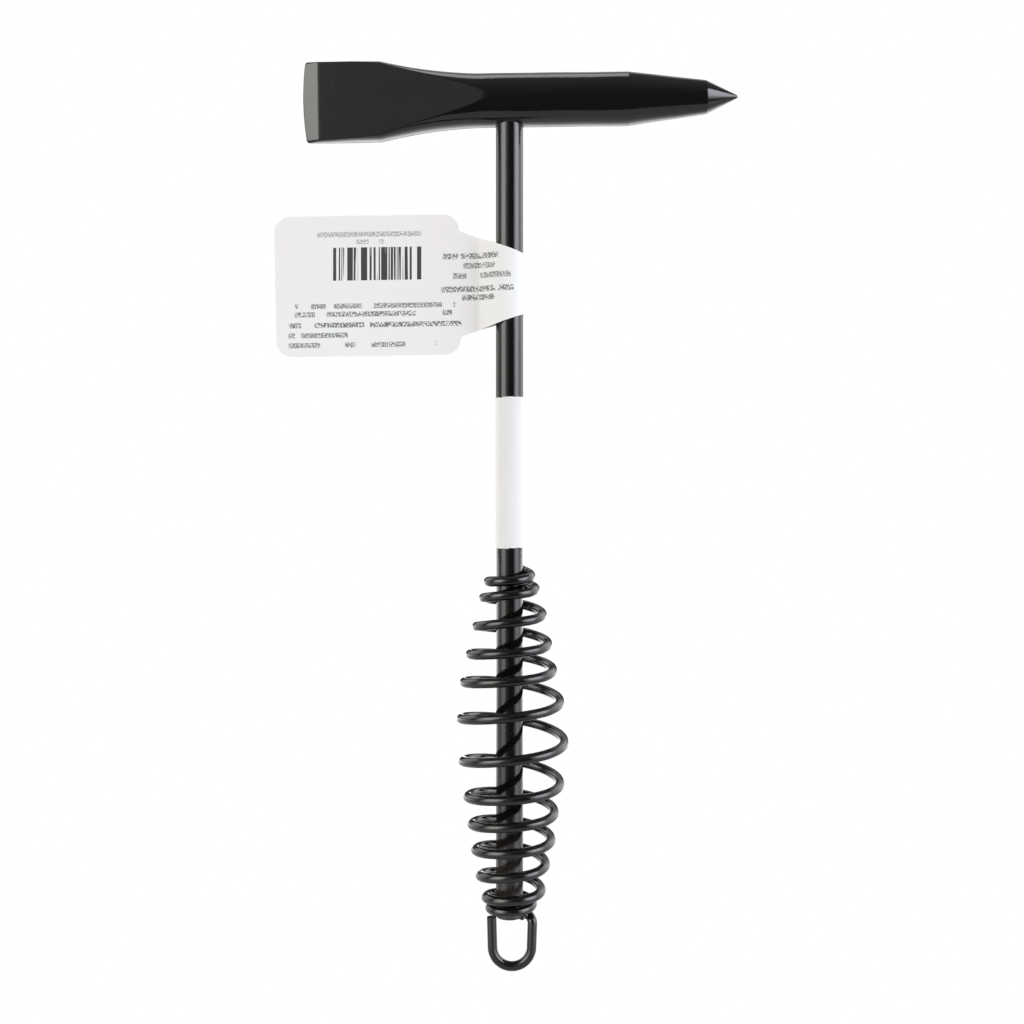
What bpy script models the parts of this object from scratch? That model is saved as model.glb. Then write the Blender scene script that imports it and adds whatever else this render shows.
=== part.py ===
"""Welder's chipping hammer: a forged head with a chisel and a point, on a round
steel handle rod with a barrel-shaped spring grip that ends in a hanging loop.

Metres, +Z up along the handle. The origin is the middle of the grip, on the
handle's axis. The chisel points to -X, the point to +X and the front is -Y.
"""

import math

import bmesh
import bpy
from mathutils import Matrix, Vector

MM = 0.001

# Driving dimensions
HANDLE_RADIUS = 4.35 * MM
HANDLE_LOW_END = -56.7 * MM
HANDLE_CHAMFER = 0.5 * MM
HEAD_HEIGHT = 206.1 * MM
HEAD_LEAN = math.radians(0.75)
BAR_RADIUS = 8.55 * MM
CHISEL_REACH = 66.4 * MM
CHISEL_WIDTH = 26.1 * MM
POINT_REACH = 73.5 * MM
WIRE_RADIUS = 1.55 * MM
GAP = 0.3 * MM

# Head, measured along its own axis from the handle's axis
FACET_START = -8.2 * MM
FACET_TAPER = math.radians(6.5)
FLARE_START = -9.3 * MM
FLARE_END = -41.4 * MM
FLARE_POWER = 1.8
FLARE_WIDTH = 25.3 * MM
FACET_SHARE = 0.54
BEVEL_LENGTH = 5.0 * MM
EDGE_THICKNESS = 0.5 * MM
EDGE_BULGE = 0.8 * MM
EDGE_SLANT = 0.01
CONE_START = 38.0 * MM
NOSE_START = 63.2 * MM
NOSE_RADIUS = 5.35 * MM
TIP_RADIUS = 0.65 * MM
POINT_RISE = 0.2 * MM
SOCKET_DEPTH = 10.0 * MM
WELD_OUTER_RADIUS = 5.15 * MM
WELD_DEPTH = 2.0 * MM
WELD_PROUD = 0.15 * MM
SECTION_POINTS = 48

# Spring grip, wound by hand: turn number, and in mm the height of the wire, the radius
# of the turn and how far the turn's middle lies to the right of the handle's axis
SPRING_STATIONS = (
    (-0.25, 55.4, 6.3, 0.0),
    (0.0, 53.1, 6.6, 0.2),
    (1.0, 48.9, 7.8, 0.4),
    (2.0, 40.7, 10.0, 0.5),
    (3.0, 31.2, 12.0, 0.3),
    (4.0, 22.8, 13.8, 0.1),
    (5.0, 12.7, 15.8, 0.4),
    (6.0, -0.3, 16.6, 1.0),
    (7.0, -13.7, 15.2, 1.0),
    (8.0, -23.0, 13.5, 0.9),
    (9.0, -31.8, 12.4, 0.9),
    (10.0, -39.7, 10.8, 0.7),
    (11.0, -48.1, 9.3, 0.8),
    (12.0, -52.6, 6.9, 0.4),
    (12.5, -53.8, 6.25, 0.0),
    (12.75, -55.2, 6.25, 0.0),
)
TURN_LIFT_LEFT = 0.35 * MM
TURN_LIFT_FRONT = 0.2 * MM
FREE_TURNS = (0.5, 12.0)
POINTS_PER_TURN = 22

# Hanging loop, bent from the same wire
LOOP_CENTRE_X = 0.8 * MM
LOOP_TOP_HALF_WIDTH = 6.55 * MM
LOOP_BEND_RADIUS = 6.3 * MM
LOOP_LOW_POINT = -74.3 * MM
LOOP_CUT_END = -56.9 * MM
LOOP_LEG_TOP = -60.5 * MM
ELBOW_PULL = 11.0 * MM

# Weld beads at the wire's two ends: centre, half sizes, and how many points of the wire's
# route pass through the bead
TOP_BEAD = (Vector((4.1, 4.1, 55.6)) * MM, Vector((1.7, 2.0, 1.7)) * MM)
LOW_BEAD = (Vector((4.9, 1.6, -56.9)) * MM, Vector((1.7, 2.0, 1.6)) * MM)
TOP_BEAD_WIRE_POINTS = 8
LOW_BEAD_WIRE_POINTS = 50

# Labels
BAND_LOW = 62.0 * MM
BAND_HIGH = 110.6 * MM
SKIN_GAP = 0.12 * MM
PAPER = 0.25 * MM
TAG_LEFT = -75.3 * MM
TAG_RIGHT = -16.0 * MM
TAG_LOW = 124.6 * MM
TAG_HIGH = 169.7 * MM
TAG_CORNER = 5.2 * MM
NECK_LOW_AT_PANEL = 130.2 * MM
NECK_HIGH_AT_PANEL = 164.2 * MM
NECK_LOW_AT_ROD = 137.0 * MM
NECK_HIGH_AT_ROD = 156.6 * MM
NECK_END_X = 5.0 * MM
TAG_FOLD_X = -5.7 * MM
FOLD_HALF_GAP = 0.05 * MM
TAG_LEAN = math.radians(1.0)
STICKER_WIDTH = 46.7 * MM
STICKER_HEIGHT = 21.4 * MM
STICKER_CENTRE_X = -47.8 * MM
STICKER_CENTRE_Z = 155.7 * MM
STICKER_THICKNESS = 0.15 * MM
STICKER_CORNER = 0.8 * MM
CUTTER_SPARE = 5.0 * MM


def clear_scene():
    for old in list(bpy.data.objects):
        bpy.data.objects.remove(old, do_unlink=True)


def collection(name):
    made = bpy.data.collections.new(name)
    bpy.context.scene.collection.children.link(made)
    return made


def material(name, colour, roughness, metallic=0.0):
    made = bpy.data.materials.new(name)
    made.use_nodes = True
    shader = made.node_tree.nodes["Principled BSDF"]
    shader.inputs["Base Color"].default_value = (*colour, 1.0)
    shader.inputs["Roughness"].default_value = roughness
    shader.inputs["Metallic"].default_value = metallic
    return made


def mesh_object(name, shape, home, finish=None, smooth_angle=30.0):
    """Turn a bmesh into an object, shaded smooth except at its sharp edges."""
    bmesh.ops.recalc_face_normals(shape, faces=shape.faces)
    mesh = bpy.data.meshes.new(name)
    shape.to_mesh(mesh)
    shape.free()
    mesh.shade_smooth()
    mesh.set_sharp_from_angle(angle=math.radians(smooth_angle))
    made = bpy.data.objects.new(name, mesh)
    home.objects.link(made)
    if finish:
        mesh.materials.append(finish)
    return made


def as_cutter(piece):
    piece.hide_render = True
    piece.display_type = "WIRE"
    return piece


def boolean(piece, cutter, operation="DIFFERENCE"):
    modifier = piece.modifiers.new(cutter.name, "BOOLEAN")
    modifier.operation = operation
    modifier.solver = "EXACT"
    modifier.object = cutter


def cylinder(radius, low, high, sides=48):
    """A closed cylinder on the Z axis between two heights."""
    shape = bmesh.new()
    bmesh.ops.create_cone(shape, cap_ends=True, segments=sides, radius1=radius, radius2=radius,
                          depth=high - low, matrix=Matrix.Translation((0, 0, (low + high) / 2)))
    return shape


def loft(rings):
    """Skin a row of rings that all have the same number of points, and cap both ends."""
    shape = bmesh.new()
    made = [[shape.verts.new(point) for point in ring] for ring in rings]
    count = len(made[0])
    for ring, following in zip(made, made[1:]):
        for i in range(count):
            j = (i + 1) % count
            shape.faces.new((ring[i], ring[j], following[j], following[i]))
    shape.faces.new(made[0])
    shape.faces.new(reversed(made[-1]))
    return shape


def curve_value(stations, column, at):
    """Smooth curve through the stations' values, by cubic pieces with matching slopes."""
    def slope(i):
        low, high = max(i - 1, 0), min(i + 1, len(stations) - 1)
        rise = stations[high][column] - stations[low][column]
        return rise / (stations[high][0] - stations[low][0])

    i = 0
    while i < len(stations) - 2 and at > stations[i + 1][0]:
        i += 1
    span = stations[i + 1][0] - stations[i][0]
    u = (at - stations[i][0]) / span
    return ((1 + 2 * u) * (1 - u) ** 2 * stations[i][column]
            + u * (1 - u) ** 2 * span * slope(i)
            + u * u * (3 - 2 * u) * stations[i + 1][column]
            - u * u * (1 - u) * span * slope(i + 1))


# Head ------------------------------------------------------------------------------------

def half_thickness(x):
    """Half the head's depth in Y: the bar, ground flat on a taper towards the chisel."""
    if x >= FACET_START:
        return BAR_RADIUS
    return BAR_RADIUS - (FACET_START - x) * math.tan(FACET_TAPER)


def half_width(x):
    """Half the head's height in Z: the bar, flared out, then widening slightly to the edge."""
    if x >= FLARE_START:
        return BAR_RADIUS
    part = min((FLARE_START - x) / (FLARE_START - FLARE_END), 1.0)
    spread = max(FLARE_END - x, 0.0) / (FLARE_END + CHISEL_REACH)
    width = BAR_RADIUS + (FLARE_WIDTH / 2 - BAR_RADIUS) * part ** FLARE_POWER
    return width + (CHISEL_WIDTH - FLARE_WIDTH) / 2 * spread


def blade_section(x, thickness):
    """A rounded section clipped by the two broad facets, with the cutting edge bowed."""
    height = half_width(x)
    depth = min(BAR_RADIUS, thickness / FACET_SHARE)
    squareness = 2.0 + 0.6 * min(max((FLARE_START - x) / (FLARE_START - FLARE_END), 0.0), 1.0)
    edge = min(max((BEVEL_LENGTH - CHISEL_REACH - x) / BEVEL_LENGTH, 0.0), 1.0)
    ring = []
    for i in range(SECTION_POINTS):
        angle = 2 * math.pi * i / SECTION_POINTS
        across, up = math.sin(angle), math.cos(angle)
        y = depth * math.copysign(abs(across) ** (2 / squareness), across)
        z = height * math.copysign(abs(up) ** (2 / squareness), up)
        y = max(-thickness, min(thickness, y))
        ring.append((x + edge * EDGE_BULGE * (z / height) ** 2 - edge * EDGE_SLANT * z, y, z))
    return ring


def round_section(x, radius, rise=0.0):
    return [(x, radius * math.sin(2 * math.pi * i / SECTION_POINTS),
             rise + radius * math.cos(2 * math.pi * i / SECTION_POINTS))
            for i in range(SECTION_POINTS)]


def head_rings():
    bevel_start = -CHISEL_REACH + BEVEL_LENGTH
    rings = [blade_section(-CHISEL_REACH, EDGE_THICKNESS / 2)]
    blade_steps = 22
    for i in range(blade_steps + 1):
        x = bevel_start + (FACET_START - bevel_start) * i / blade_steps
        rings.append(blade_section(x, half_thickness(x)))
    rings.append(round_section(CONE_START, BAR_RADIUS))
    rings.append(round_section(NOSE_START, NOSE_RADIUS, POINT_RISE))
    for angle in map(math.radians, (26, 50, 74)):
        x = POINT_REACH - TIP_RADIUS * (1 - math.sin(angle))
        rings.append(round_section(x, TIP_RADIUS * math.cos(angle), POINT_RISE))
    return rings


def head_frame():
    """Place of the head: its axis crosses the handle's, and the point sits a little high."""
    return Matrix.Translation((0, 0, HEAD_HEIGHT)) @ Matrix.Rotation(-HEAD_LEAN, 4, "Y")


def socket_top():
    return HEAD_HEIGHT - BAR_RADIUS + SOCKET_DEPTH


def make_head(home, cutters, finish):
    head = mesh_object("head", loft(head_rings()), home, finish)
    head.matrix_world = head_frame()
    below = HEAD_HEIGHT - 2 * BAR_RADIUS
    mouth = HEAD_HEIGHT - BAR_RADIUS + WELD_DEPTH
    for name, radius, top in (("head_socket_cutter", HANDLE_RADIUS + GAP, socket_top()),
                              ("head_recess_cutter", WELD_OUTER_RADIUS + GAP, mouth)):
        boolean(head, as_cutter(mesh_object(name, cylinder(radius, below, top), cutters)))


def make_head_weld(home, cutters, finish):
    """Ring of weld in the recess round the socket's mouth, saddle-shaped like the bar."""
    top = HEAD_HEIGHT - BAR_RADIUS + WELD_DEPTH - GAP
    weld = mesh_object("head_weld", cylinder(WELD_OUTER_RADIUS, top - 2 * WELD_DEPTH - BAR_RADIUS, top),
                       home, finish)
    bore = mesh_object("head_weld_bore_cutter",
                       cylinder(HANDLE_RADIUS + GAP, top - 2 * BAR_RADIUS, top + BAR_RADIUS), cutters)
    saddle = mesh_object("head_weld_saddle_cutter",
                         cylinder(BAR_RADIUS + WELD_PROUD, -BAR_RADIUS, BAR_RADIUS, 64), cutters)
    saddle.matrix_world = head_frame() @ Matrix.Rotation(math.radians(90), 4, "Y")
    boolean(weld, as_cutter(bore))
    boolean(weld, as_cutter(saddle), "INTERSECT")


# Handle rod ------------------------------------------------------------------------------

def make_handle_rod(home, finish):
    """Plain round rod: a profile turned about Z, chamfered at its free lower end."""
    profile = bmesh.new()
    top = socket_top() - GAP
    outline = ((0, top), (HANDLE_RADIUS, top), (HANDLE_RADIUS, HANDLE_LOW_END + HANDLE_CHAMFER),
               (HANDLE_RADIUS - HANDLE_CHAMFER, HANDLE_LOW_END), (0, HANDLE_LOW_END))
    points = [profile.verts.new((radius, 0, height)) for radius, height in outline]
    for start, end in zip(points, points[1:]):
        profile.edges.new((start, end))
    mesh = bpy.data.meshes.new("handle_rod")
    profile.to_mesh(mesh)
    profile.free()
    mesh.materials.append(finish)
    rod = bpy.data.objects.new("handle_rod", mesh)
    home.objects.link(rod)
    screw = rod.modifiers.new("turn", "SCREW")
    screw.axis = "Z"
    screw.steps = 48
    screw.render_steps = 48
    screw.use_merge_vertices = True
    screw.merge_threshold = 0.00001


# Spring grip and hanging loop ------------------------------------------------------------

def spring_point(turn):
    """Each free turn runs a little high on its left and in front, and dips on its right."""
    height, radius, offset = (curve_value(SPRING_STATIONS, column, turn) * MM for column in (1, 2, 3))
    angle = 2 * math.pi * turn
    free = min(max(turn - FREE_TURNS[0], 0.0), max(FREE_TURNS[1] - turn, 0.0), 1.0)
    height += free * (TURN_LIFT_LEFT * (1 - math.cos(angle)) + TURN_LIFT_FRONT * math.sin(angle))
    return Vector((offset + radius * math.cos(angle), -radius * math.sin(angle), height))


def elbow(start, start_pull, end, end_pull, steps=12):
    """Bend of the wire from one point and direction to another."""
    points = []
    for i in range(1, steps):
        u = i / steps
        points.append((1 + 2 * u) * (1 - u) ** 2 * start + u * (1 - u) ** 2 * start_pull
                      + u * u * (3 - 2 * u) * end - u * u * (1 - u) * end_pull)
    return points


def loop_points():
    """Right leg, round bend and left leg of the hanging loop, in the plane of X and Z."""
    centre_z = LOOP_LOW_POINT + WIRE_RADIUS + LOOP_BEND_RADIUS
    points = [Vector((LOOP_CENTRE_X + LOOP_TOP_HALF_WIDTH, 0, LOOP_LEG_TOP))]
    bend_steps = 20
    for i in range(bend_steps + 1):
        angle = -math.pi * i / bend_steps
        points.append(Vector((LOOP_CENTRE_X + LOOP_BEND_RADIUS * math.cos(angle), 0,
                              centre_z + LOOP_BEND_RADIUS * math.sin(angle))))
    points.append(Vector((LOOP_CENTRE_X - LOOP_TOP_HALF_WIDTH, 0, LOOP_CUT_END)))
    return points


def wire_route():
    first, last = SPRING_STATIONS[0][0], SPRING_STATIONS[-1][0]
    steps = round((last - first) * POINTS_PER_TURN)
    coil = [spring_point(first + (last - first) * i / steps) for i in range(steps + 1)]
    loop = loop_points()
    leaving = (coil[-1] - coil[-2]).normalized() * ELBOW_PULL
    arriving = (loop[1] - loop[0]).normalized() * ELBOW_PULL
    return coil + elbow(coil[-1], leaving, loop[0], arriving) + loop


def wire(name, points, radius, home, finish=None):
    """Round wire along a row of points, with flat closed ends."""
    curve = bpy.data.curves.new(name, "CURVE")
    curve.dimensions = "3D"
    curve.bevel_depth = radius
    curve.bevel_resolution = 2
    curve.use_fill_caps = True
    spline = curve.splines.new("POLY")
    spline.points.add(len(points) - 1)
    for point, place in zip(spline.points, points):
        point.co = (*place, 1.0)
    if finish:
        curve.materials.append(finish)
    made = bpy.data.objects.new(name, curve)
    home.objects.link(made)
    return made


def wire_cutter(name, points, cutters):
    """The wire with clearance all round, as a closed mesh that can cut a weld bead."""
    tube = wire(name, points, WIRE_RADIUS + GAP, cutters)
    bpy.context.view_layer.update()
    solid = tube.evaluated_get(bpy.context.evaluated_depsgraph_get())
    mesh = bpy.data.meshes.new_from_object(solid)
    welded = bmesh.new()
    welded.from_mesh(mesh)
    bmesh.ops.remove_doubles(welded, verts=welded.verts, dist=0.00001)
    welded.to_mesh(mesh)
    welded.free()
    made = bpy.data.objects.new(name, mesh)
    made.matrix_world = tube.matrix_world
    cutters.objects.link(made)
    bpy.data.objects.remove(tube, do_unlink=True)
    return as_cutter(made)


def weld_bead(name, bead_size, route, home, cutters, finish):
    """A bead of weld between the rod and the wire, hollowed to the shape of both."""
    centre, radii = bead_size
    shape = bmesh.new()
    place = Matrix.Translation(centre) @ Matrix.Diagonal((*radii, 1.0))
    bmesh.ops.create_uvsphere(shape, u_segments=20, v_segments=12, radius=1.0, matrix=place)
    bead = mesh_object(name, shape, home, finish)
    rod = mesh_object(name + "_rod_cutter",
                      cylinder(HANDLE_RADIUS + GAP, HANDLE_LOW_END - GAP, HEAD_HEIGHT), cutters)
    boolean(bead, as_cutter(rod))
    boolean(bead, wire_cutter(name + "_wire_cutter", route, cutters))


# Labels ----------------------------------------------------------------------------------

def extruded(outline, low, high, axis):
    """A flat outline pulled out between two places along Y or Z."""
    shape = bmesh.new()
    if axis == "Z":
        base = [shape.verts.new((a, b, low)) for a, b in outline]
    else:
        base = [shape.verts.new((a, low, b)) for a, b in outline]
    face = shape.faces.new(base)
    pulled = bmesh.ops.extrude_face_region(shape, geom=[face])
    moved = [item for item in pulled["geom"] if isinstance(item, bmesh.types.BMVert)]
    offset = (0, 0, high - low) if axis == "Z" else (0, high - low, 0)
    bmesh.ops.translate(shape, verts=moved, vec=offset)
    return shape


def arc(centre, radius, start, end, steps):
    return [(centre[0] + radius * math.cos(start + (end - start) * i / steps),
             centre[1] + radius * math.sin(start + (end - start) * i / steps))
            for i in range(steps + 1)]


def make_band_label(home, cutters, finish):
    """Paper band wrapped round the rod."""
    outer = HANDLE_RADIUS + SKIN_GAP + PAPER
    band = mesh_object("band_label", cylinder(outer, BAND_LOW, BAND_HIGH), home, finish)
    bore = mesh_object("band_bore_cutter",
                       cylinder(HANDLE_RADIUS + SKIN_GAP, BAND_LOW - GAP, BAND_HIGH + GAP), cutters)
    boolean(band, as_cutter(bore))


def teardrop(radius, fold_x, half_gap, left=None):
    """Outline round the rod that closes to a flat fold at its left, or runs on as a flag."""
    reach = math.acos(radius / abs(fold_x))
    start = math.pi - reach
    outline = arc((0, 0), radius, start, -start, 28)
    outline.append((fold_x, -half_gap))
    if left is not None:
        outline += [(left, -half_gap), (left, half_gap)]
    outline.append((fold_x, half_gap))
    return outline


def tag_outline():
    """Front view of the tag: a panel with round corners and a neck that tapers to the rod."""
    quarter = math.pi / 2
    left, right, corner = TAG_LEFT, TAG_RIGHT, TAG_CORNER
    outline = arc((left + corner, TAG_HIGH - corner), corner, 2 * quarter, quarter, 8)
    outline += arc((right - corner, TAG_HIGH - corner), corner, quarter, 0, 8)
    outline += [(right, NECK_HIGH_AT_PANEL), (NECK_END_X, NECK_HIGH_AT_ROD)]
    outline += [(NECK_END_X, NECK_LOW_AT_ROD), (right, NECK_LOW_AT_PANEL)]
    outline += arc((right - corner, TAG_LOW + corner), corner, 0, -quarter, 8)
    outline += arc((left + corner, TAG_LOW + corner), corner, -quarter, -2 * quarter, 8)
    return outline


def tag_frame():
    """The tag hangs a little low at its free end."""
    middle = (TAG_LOW + TAG_HIGH) / 2
    turn = Matrix.Rotation(-TAG_LEAN, 4, "Y")
    return Matrix.Translation((0, 0, middle)) @ turn @ Matrix.Translation((0, 0, -middle))


def make_tag(home, cutters, finish):
    """Folded flag tag: one strip round the rod with its two halves stuck back to back."""
    inner = HANDLE_RADIUS + 2 * SKIN_GAP
    low, high = TAG_LOW - CUTTER_SPARE, TAG_HIGH + CUTTER_SPARE
    strip = teardrop(inner + PAPER, TAG_FOLD_X - PAPER, PAPER, TAG_LEFT - CUTTER_SPARE)
    tag = mesh_object("tag", extruded(strip, low, high, "Z"), home, finish)
    hollow = teardrop(inner, TAG_FOLD_X, FOLD_HALF_GAP)
    hollow = extruded(hollow, low - CUTTER_SPARE, high + CUTTER_SPARE, "Z")
    eye = mesh_object("tag_eye_cutter", hollow, cutters)
    outline = extruded(tag_outline(), -2 * CUTTER_SPARE, 2 * CUTTER_SPARE, "Y")
    front = mesh_object("tag_outline_cutter", outline, cutters)
    front.matrix_world = tag_frame()
    boolean(tag, as_cutter(eye))
    boolean(tag, as_cutter(front), "INTERSECT")


def make_tag_sticker(home, finish):
    """Plain sticker on the front of the tag, with small round corners."""
    half_x, half_z = STICKER_WIDTH / 2 - STICKER_CORNER, STICKER_HEIGHT / 2 - STICKER_CORNER
    quarter = math.pi / 2
    outline = []
    for i, (side_x, side_z) in enumerate(((1, 1), (-1, 1), (-1, -1), (1, -1))):
        centre = (STICKER_CENTRE_X + side_x * half_x, STICKER_CENTRE_Z + side_z * half_z)
        outline += arc(centre, STICKER_CORNER, i * quarter, (i + 1) * quarter, 4)
    back = -PAPER - SKIN_GAP
    sheet = extruded(outline, back - STICKER_THICKNESS, back, "Y")
    sticker = mesh_object("tag_sticker", sheet, home, finish)
    sticker.matrix_world = tag_frame()


def main():
    clear_scene()
    hammer = collection("chipping_hammer")
    cutters = collection("cutters")
    black = material("gloss_black_enamel", (0.012, 0.012, 0.012), 0.18)
    weld_black = material("enamelled_weld", (0.014, 0.014, 0.014), 0.3)
    band_white = material("white_band_paper", (0.78, 0.78, 0.80), 0.6)
    tag_white = material("white_tag_card", (0.84, 0.83, 0.85), 0.55)
    sticker_white = material("white_sticker_paper", (0.86, 0.86, 0.88), 0.45)

    make_head(hammer, cutters, black)
    make_head_weld(hammer, cutters, weld_black)
    make_handle_rod(hammer, black)
    route = wire_route()
    wire("grip_spring", route, WIRE_RADIUS, hammer, black)
    weld_bead("spring_top_weld", TOP_BEAD, route[:TOP_BEAD_WIRE_POINTS], hammer, cutters, weld_black)
    weld_bead("spring_low_weld", LOW_BEAD, route[-LOW_BEAD_WIRE_POINTS:], hammer, cutters, weld_black)
    make_band_label(hammer, cutters, band_white)
    make_tag(hammer, cutters, tag_white)
    make_tag_sticker(hammer, sticker_white)


main()
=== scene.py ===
"""Finish of the welder's chipping hammer: gloss black enamel over a forged head, a plain
rod and a barrel-wound spring wire, with weld beads, a paper band and a folded card tag."""

import math

import bmesh
import bpy
from mathutils import Matrix, Vector, noise


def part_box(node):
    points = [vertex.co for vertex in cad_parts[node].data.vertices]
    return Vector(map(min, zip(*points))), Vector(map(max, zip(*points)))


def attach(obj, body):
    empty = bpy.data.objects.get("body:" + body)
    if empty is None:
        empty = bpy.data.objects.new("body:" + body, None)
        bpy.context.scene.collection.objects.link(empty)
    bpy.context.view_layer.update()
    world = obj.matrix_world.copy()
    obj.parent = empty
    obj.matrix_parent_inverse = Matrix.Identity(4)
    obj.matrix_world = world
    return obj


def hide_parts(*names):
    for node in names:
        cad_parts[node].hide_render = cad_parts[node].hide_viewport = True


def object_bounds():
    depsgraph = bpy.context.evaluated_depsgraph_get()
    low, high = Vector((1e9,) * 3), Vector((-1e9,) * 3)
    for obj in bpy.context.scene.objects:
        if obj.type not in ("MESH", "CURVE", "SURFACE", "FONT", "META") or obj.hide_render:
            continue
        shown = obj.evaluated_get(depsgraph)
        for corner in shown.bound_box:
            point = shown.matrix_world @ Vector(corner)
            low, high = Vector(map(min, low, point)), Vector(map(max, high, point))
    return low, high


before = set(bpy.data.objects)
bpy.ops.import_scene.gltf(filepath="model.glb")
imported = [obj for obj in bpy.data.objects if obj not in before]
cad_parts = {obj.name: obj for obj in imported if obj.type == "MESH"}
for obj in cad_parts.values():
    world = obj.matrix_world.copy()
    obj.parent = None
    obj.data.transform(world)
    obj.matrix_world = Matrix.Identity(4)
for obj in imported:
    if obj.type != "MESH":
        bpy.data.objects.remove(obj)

CAD_LOW, CAD_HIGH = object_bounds()
MM = 0.001

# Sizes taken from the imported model
HEAD_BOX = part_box("head")
ROD_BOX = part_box("handle_rod")
SPRING_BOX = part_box("grip_spring")
BAND_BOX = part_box("band_label")

ROD_RADIUS = (ROD_BOX[1].x - ROD_BOX[0].x) / 2
ROD_LOW_END = ROD_BOX[0].z
BAR_RADIUS = (HEAD_BOX[1].y - HEAD_BOX[0].y) / 2
HEAD_HEIGHT = 206.1 * MM
HEAD_LEAN = math.radians(0.75)
CHISEL_EDGE = HEAD_BOX[0].x
POINT_TIP = HEAD_BOX[1].x
CHISEL_HALF_WIDTH = 13.05 * MM
WIRE_RADIUS = 1.55 * MM
LOOP_LOW_POINT = SPRING_BOX[0].z


# Bench of small helpers --------------------------------------------------------------------

def smooth_min(a, b, blend):
    """The smaller of two lengths, rounded where they meet over about the blend length."""
    near = max(blend - abs(a - b), 0.0) / blend
    return min(a, b) - near * near * blend / 4


def clamp01(value):
    return min(max(value, 0.0), 1.0)


def shade_and_link(name, shape, sharp_degrees=40.0):
    """Close the seams, point the faces outwards and make the finished object."""
    bmesh.ops.remove_doubles(shape, verts=shape.verts, dist=0.000002)
    bmesh.ops.recalc_face_normals(shape, faces=shape.faces)
    mesh = bpy.data.meshes.new(name)
    shape.to_mesh(mesh)
    shape.free()
    mesh.shade_smooth()
    mesh.set_sharp_from_angle(angle=math.radians(sharp_degrees))
    made = bpy.data.objects.new(name, mesh)
    bpy.context.scene.collection.objects.link(made)
    return made


def thicken(shape, thickness):
    """Give a sheet its thickness, evenly on both sides, with crisp cut edges."""
    shape.normal_update()
    for vert in shape.verts:
        vert.co += vert.normal * (thickness / 2)
    bmesh.ops.solidify(shape, geom=shape.faces[:], thickness=thickness)


def finish_piece(piece, finish, slot, *nodes):
    """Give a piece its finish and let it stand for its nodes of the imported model."""
    piece.data.materials.clear()
    piece.data.materials.append(finish)
    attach(piece, "root")
    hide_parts(*nodes)


def drawn_out(stations, sides):
    """A tube of unit radius along X with a ring of vertices at each station."""
    shape = bmesh.new()
    turn = Matrix.Rotation(math.radians(90), 4, "Y")
    start = Matrix.Translation((stations[0], 0, 0)) @ turn
    bmesh.ops.create_circle(shape, segments=sides, radius=1.0, matrix=start)
    edges = list(shape.edges)
    for here, following in zip(stations, stations[1:]):
        grown = bmesh.ops.extrude_edge_only(shape, edges=edges)["geom"]
        edges = [item for item in grown if isinstance(item, bmesh.types.BMEdge)]
        verts = [item for item in grown if isinstance(item, bmesh.types.BMVert)]
        bmesh.ops.translate(shape, verts=verts, vec=(following - here, 0, 0))
    return shape


def spaced(start, end, step):
    """Evenly spaced values from start up to, but not including, end."""
    count = max(1, round(abs(end - start) / step))
    return [start + (end - start) * i / count for i in range(count)]


# Camera and studio -------------------------------------------------------------------------

CAMERA_DISTANCE = 458 * MM
CAMERA_HEIGHT = 98.0 * MM
CAMERA_SIDE = 0.8 * MM
CAMERA_LENS = 50.0
FRAME_DROP = -0.0742


def make_camera():
    """Level camera in front, a little above the grip, with the frame shifted down."""
    data = bpy.data.cameras.new("camera")
    data.lens = CAMERA_LENS
    data.sensor_width = 36.0
    data.shift_y = FRAME_DROP
    data.clip_start = 0.01
    camera = bpy.data.objects.new("camera", data)
    camera.location = (CAMERA_SIDE, -CAMERA_DISTANCE, CAMERA_HEIGHT)
    camera.rotation_euler = (math.radians(90), 0, 0)
    bpy.context.scene.collection.objects.link(camera)
    bpy.context.scene.camera = camera


def add(tree, kind, settings=None, inputs=None):
    """Add one node with its settings, and its inputs as values or as links."""
    node = tree.nodes.new(kind)
    for name, value in (settings or {}).items():
        setattr(node, name, value)
    for name, value in (inputs or {}).items():
        if isinstance(value, bpy.types.NodeSocket):
            tree.links.new(value, node.inputs[name])
        else:
            node.inputs[name].default_value = value
    return node


def linear(hex_colour, alpha=1.0):
    """An sRGB hex colour as a linear one."""
    parts = [int(hex_colour[i:i + 2], 16) / 255 for i in (1, 3, 5)]
    return (*[p / 12.92 if p <= 0.04045 else ((p + 0.055) / 1.055) ** 2.4 for p in parts], alpha)


# Soft lights round the object. Azimuth 0 is the camera's side and 90 is +X. Each fades in
# and out across and up between the angles given, in degrees from its own middle.
SOFT_LIGHTS = (
    # azimuth, elevation, fade across, fade up, colour, strength
    (-52, 15, (-36, -8, 5, 32), (-45, 0, 22, 30), "#FFFDF6", 5.2),
    (-35, 10, (-30, -10, 20, 36), (-30, -10, 22, 30), "#FFFDF8", 0.45),
    (-115, 15, (-45, -20, 10, 25), (-30, -10, 21, 27), "#FFFFFF", 1.0),
    (64, 15, (-33, -4, 8, 34), (-38, -2, 21, 27), "#F3F4FE", 7.2),
    (115, 15, (-35, -15, 15, 50), (-30, -10, 21, 27), "#F6F6FF", 2.1),
    (180, 73, (-10, -6, 6, 9), (-15, -11, 11, 14), "#FFFFFF", 2.3),
    (180, 42, (-70, -50, 50, 70), (-22, -16, 12, 16), "#FFFFFF", 0.5),
    (0, 75, (-180, -170, 170, 180), (-60, 0, 20, 60), "#FFFFFF", 0.17),
)
ROOM_GLOW = 0.09
MATT_LIGHT = 0.64

# White table under the object: it starts in front of the object and brightens behind it
TABLE_FRONT = -170 * MM
TABLE_BACK = 2.0
TABLE_HALF_WIDTH = 1.5
TABLE_GLOW = 0.66
BACKDROP_GLOW = 2.1


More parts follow.
